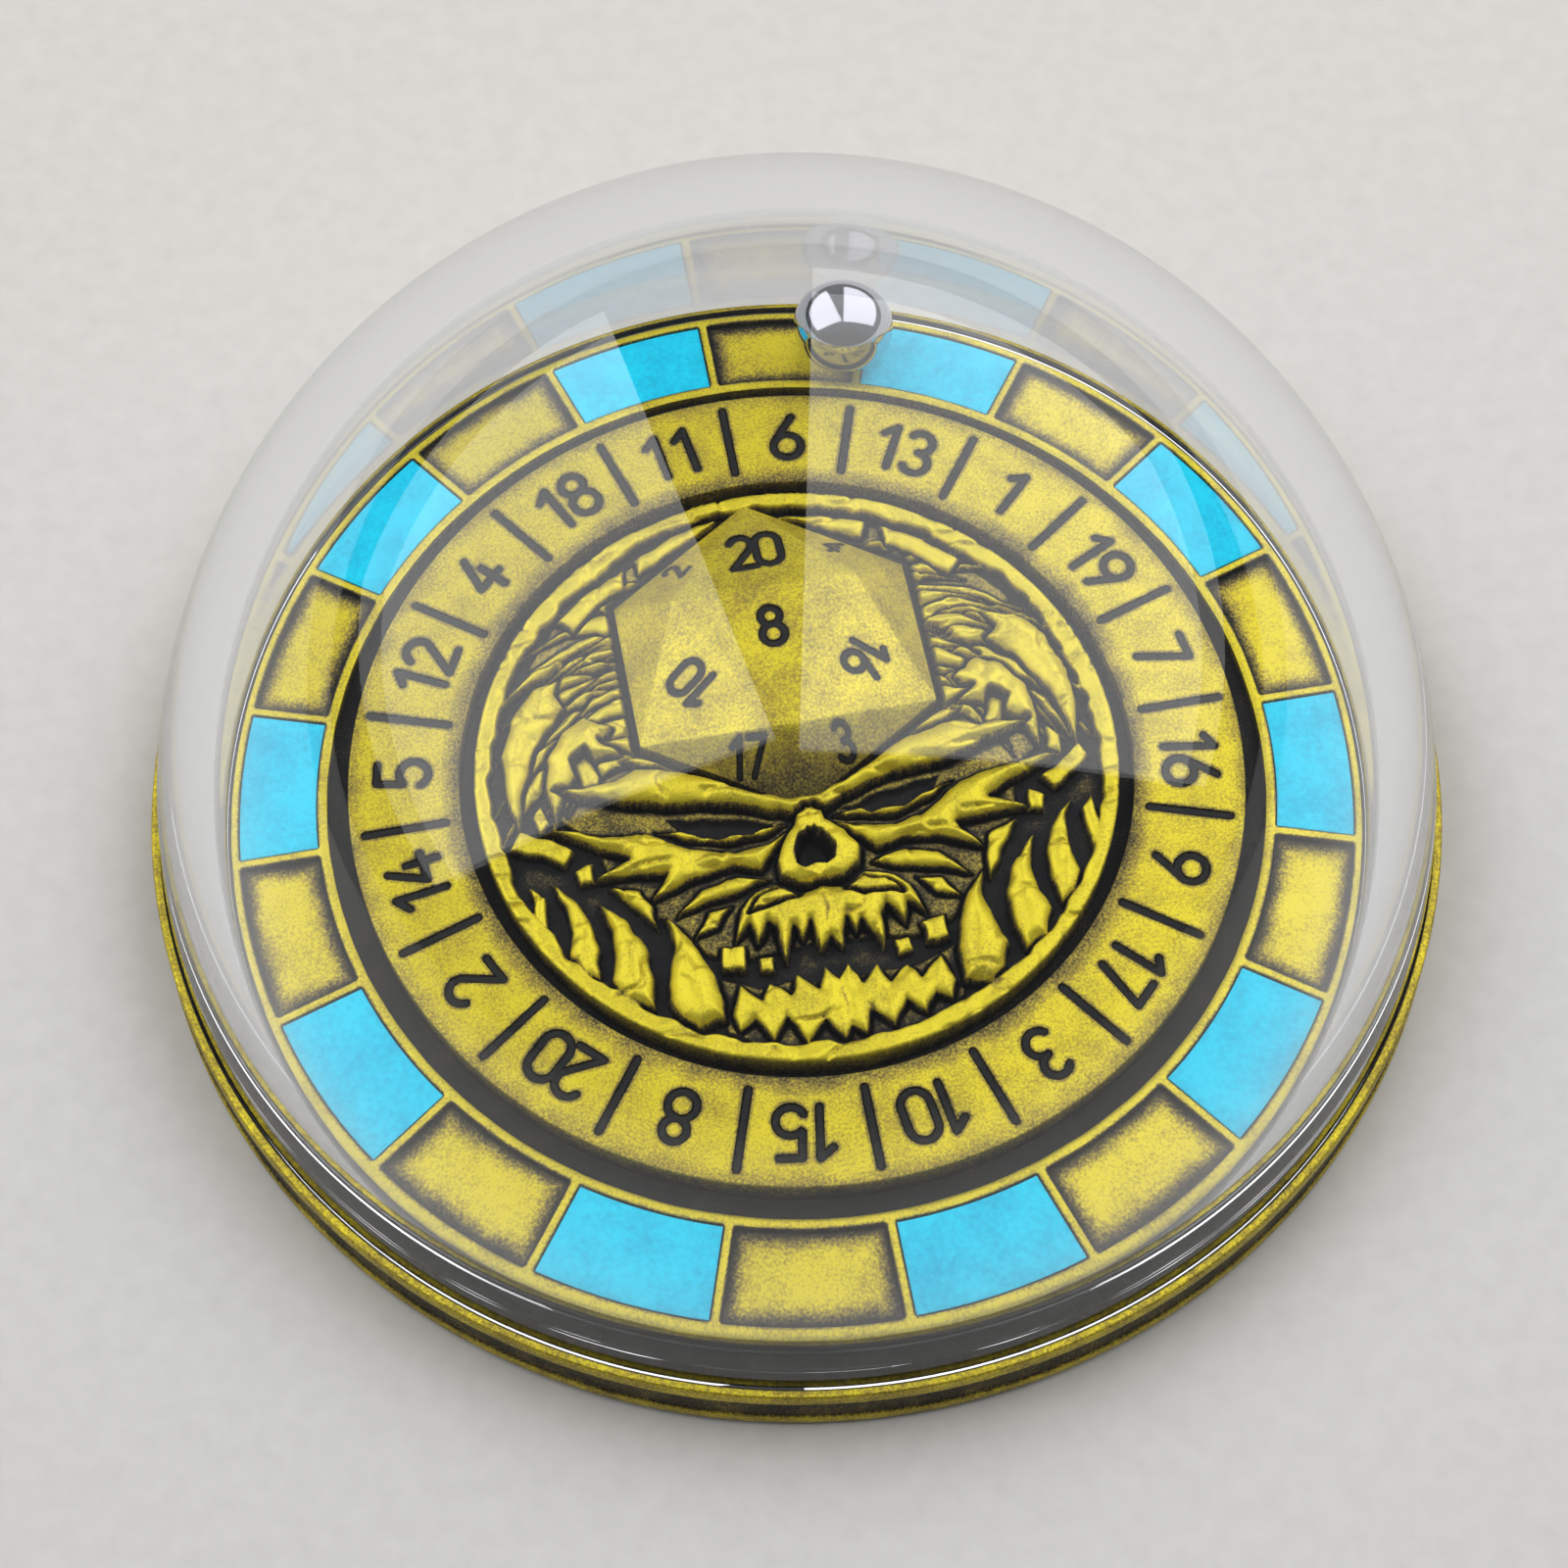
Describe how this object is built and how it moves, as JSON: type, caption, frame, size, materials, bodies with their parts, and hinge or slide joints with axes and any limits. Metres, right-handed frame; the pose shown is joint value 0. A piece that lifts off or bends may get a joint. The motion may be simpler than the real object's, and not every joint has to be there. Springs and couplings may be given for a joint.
{
  "type": "dealer button",
  "caption": "Domed table-game marker: a clear half-dome sealed over a brass numbered wheel with enamelled pockets, a raised medallion and a loose steel ball that runs round the rim.",
  "frame": {"origin": "centre of the underside, on the surface that the button rests on", "axes": "+Z up through the top of the dome; +Y to the top of the medallion, where the divider between numbers 11 and 6 is; +X to the right seen from above with +Y up"},
  "size_m": [0.0772, 0.0772, 0.0421],
  "materials": {
    "antique_brass": "antiqued brass plating on a die casting, satin, dark patina in the recesses",
    "blue_enamel": "bright blue soft enamel, slightly pebbled",
    "black_infill": "matt black paint infill",
    "clear_acrylic": "clear cast acrylic, polished",
    "clear_adhesive": "thin cured adhesive line",
    "polished_steel": "polished bearing steel",
    "felt": "black pressed felt"
  },
  "bodies": {
    "housing": {"base_casting": "antique_brass", "number_ring": "antique_brass", "medallion": "antique_brass", "crest_infill": "black_infill", "dome": "clear_acrylic", "dome_seal": "clear_adhesive", "base_pad": "felt", "divider_infill": "black_infill", "enamel_01": "blue_enamel", "enamel_02": "blue_enamel", "enamel_03": "blue_enamel", "enamel_04": "blue_enamel", "enamel_05": "blue_enamel", "enamel_06": "blue_enamel", "enamel_07": "blue_enamel", "enamel_08": "blue_enamel", "enamel_09": "blue_enamel", "enamel_10": "blue_enamel", "number_infill_01": "black_infill", "number_infill_02": "black_infill", "number_infill_03": "black_infill", "number_infill_04": "black_infill", "number_infill_05": "black_infill", "number_infill_06": "black_infill", "number_infill_07": "black_infill", "number_infill_08": "black_infill", "number_infill_09": "black_infill", "number_infill_10": "black_infill", "number_infill_11": "black_infill", "number_infill_12": "black_infill", "number_infill_13": "black_infill", "number_infill_14": "black_infill", "number_infill_15": "black_infill", "number_infill_16": "black_infill", "number_infill_17": "black_infill", "number_infill_18": "black_infill", "number_infill_19": "black_infill", "number_infill_20": "black_infill"},
    "ball": {"ball": "polished_steel"}
  },
  "joints": [
    {"name": "ball_orbit", "type": "hinge", "parent": "housing", "child": "ball", "pos_m": [0, 0, 0], "axis": [0, 0, 1], "continuous": true}
  ]
}
